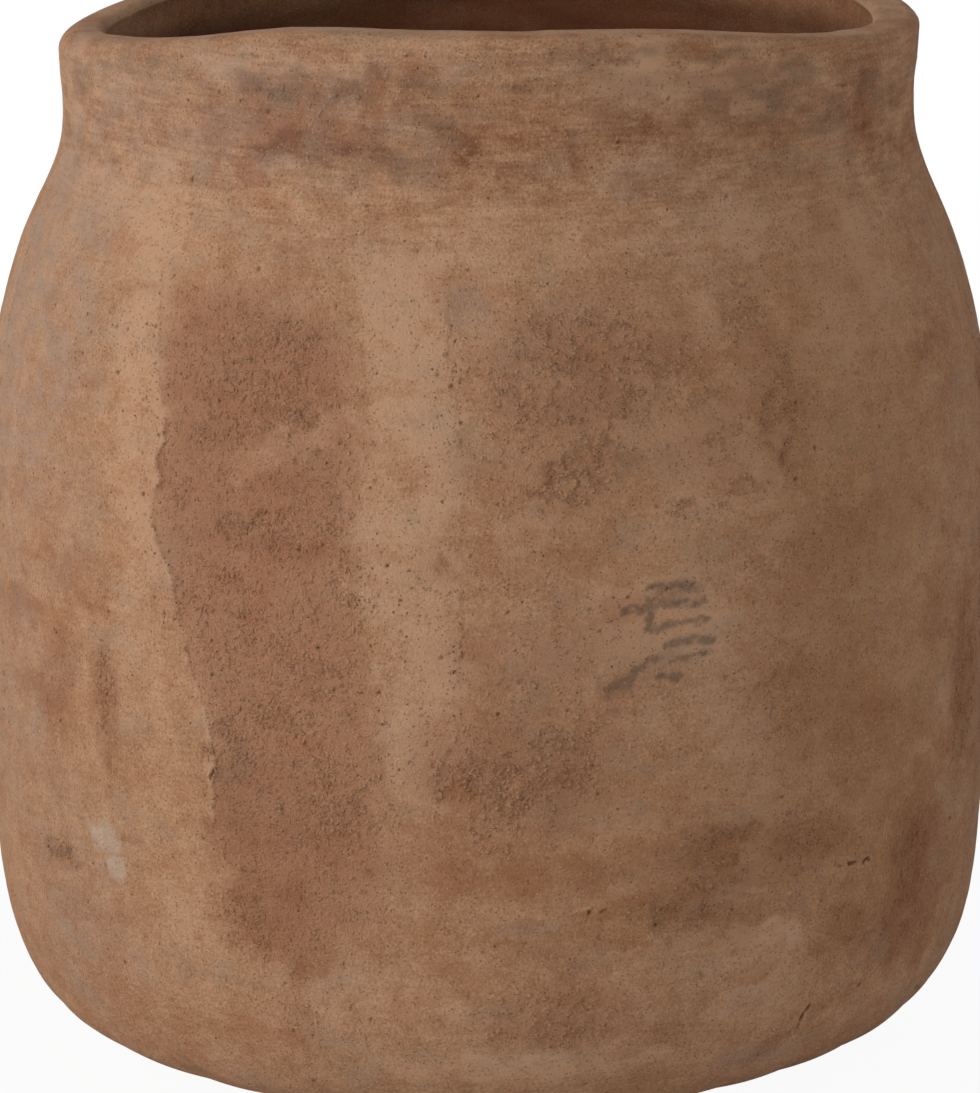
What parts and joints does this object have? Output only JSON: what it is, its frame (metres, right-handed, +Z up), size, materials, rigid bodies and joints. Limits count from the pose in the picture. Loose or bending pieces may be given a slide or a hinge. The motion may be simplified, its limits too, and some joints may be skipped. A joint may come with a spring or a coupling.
{
  "type": "jar planter",
  "caption": "Large round hand-built terracotta jar planter with a full belly, a short neck, a wavy rolled lip and a drain hole in its flat foot.",
  "frame": {"origin": "on the ground under the middle of the jar's outline, at the centre of the drain hole in the flat foot", "axes": "+Z up through the mouth, the pictured front towards -Y, +X to the right of that front"},
  "size_m": [0.488, 0.4878, 0.5102],
  "materials": {
    "clay_base": "unglazed coarse terracotta, matt",
    "clay_wall": "unglazed coarse terracotta with grog and pits, matt",
    "clay_rim": "unglazed terracotta smoothed by hand, matt"
  },
  "bodies": {
    "root": {"base_slab": "clay_base", "heel_wall": "clay_wall", "wall_slab_01": "clay_wall", "wall_slab_02": "clay_wall", "wall_slab_03": "clay_wall", "wall_slab_04": "clay_wall", "wall_slab_05": "clay_wall", "wall_slab_06": "clay_wall", "wall_slab_07": "clay_wall", "wall_slab_08": "clay_wall", "wall_slab_09": "clay_wall", "wall_slab_10": "clay_wall", "neck_collar": "clay_rim", "rim_coil": "clay_rim"}
  },
  "joints": []
}
